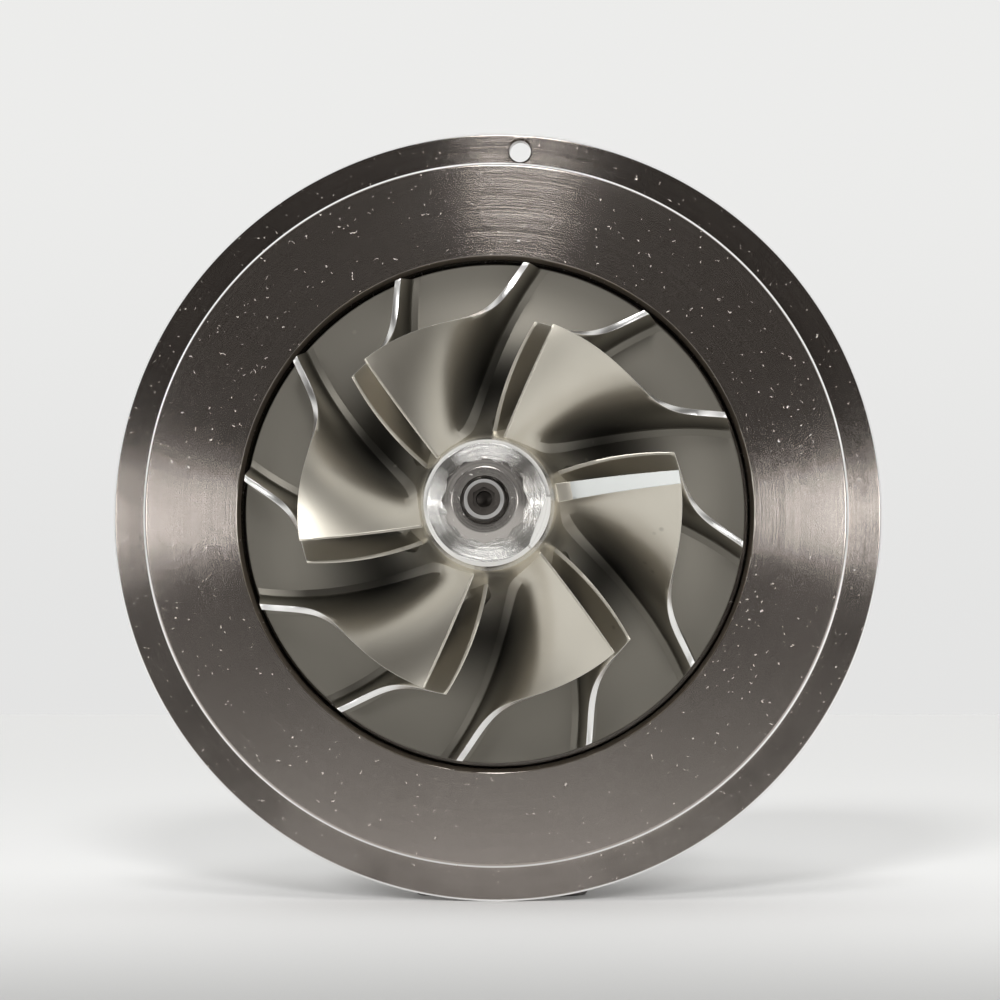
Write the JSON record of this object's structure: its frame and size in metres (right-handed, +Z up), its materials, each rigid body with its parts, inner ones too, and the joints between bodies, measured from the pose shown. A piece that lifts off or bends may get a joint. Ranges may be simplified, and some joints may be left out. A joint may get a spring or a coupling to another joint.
{
  "type": "turbocharger cartridge",
  "caption": "Turbocharger cartridge: turned round backplate with bladed compressor wheel and nut in front, cast bearing housing and turbine wheel on one shaft behind.",
  "frame": {"origin": "on the shaft axis, in the flange face of the backplate that the compressor cover seats on", "axes": "+Y along the shaft from the compressor to the turbine, +Z up, away from the oil drain, +X to the right seen from the compressor side"},
  "size_m": [0.12, 0.1536, 0.12],
  "materials": {
    "turned_steel": "concentric turned face with fine scratches",
    "milled_aluminium": "satin milled, fine tool marks",
    "bright_steel": "polished and turned",
    "ground_steel": "ground",
    "cast_iron": "sand cast skin, machined seats",
    "bearing_bronze": "fine turned bronze",
    "seal_rubber": "matt black",
    "zinc_steel": "zinc plated",
    "spring_steel": "oil blacked spring steel",
    "pressed_steel": "pressed sheet, heat tinted",
    "turbine_alloy": "investment cast, satin"
  },
  "bodies": {
    "core": {"compressor_backplate": "turned_steel", "backplate_seal": "seal_rubber", "backplate_bolts": "zinc_steel", "spring_washers": "spring_steel", "oil_baffle": "ground_steel", "compressor_seal_ring": "spring_steel", "thrust_bearing": "bearing_bronze", "thrust_dowels": "ground_steel", "bearing_housing": "cast_iron", "bearing_circlips": "spring_steel", "turbine_seal_ring": "spring_steel", "heat_shield": "pressed_steel", "turbine_dowel": "ground_steel"},
    "rotor": {"rotor_shaft": "ground_steel", "inner_thrust_collar": "ground_steel", "thrust_spacer": "ground_steel", "oil_flinger": "ground_steel", "compressor_wheel": "milled_aluminium", "compressor_nut": "bright_steel", "turbine_wheel": "turbine_alloy"},
    "compressor_bush": {"compressor_bearing": "bearing_bronze"},
    "turbine_bush": {"turbine_bearing": "bearing_bronze"}
  },
  "joints": [
    {"name": "rotor_spin", "type": "hinge", "parent": "core", "child": "rotor", "pos_m": [0, 0, 0], "axis": [0, -1, 0], "continuous": true},
    {"name": "compressor_bush_spin", "type": "hinge", "parent": "core", "child": "compressor_bush", "pos_m": [0, 0.0274, 0], "axis": [0, -1, 0], "continuous": true},
    {"name": "turbine_bush_spin", "type": "hinge", "parent": "core", "child": "turbine_bush", "pos_m": [0, 0.0542, 0], "axis": [0, -1, 0], "continuous": true}
  ],
  "couplings": [
    {"joint": "compressor_bush_spin", "follows": "rotor_spin", "ratio": 0.3},
    {"joint": "turbine_bush_spin", "follows": "rotor_spin", "ratio": 0.3}
  ]
}
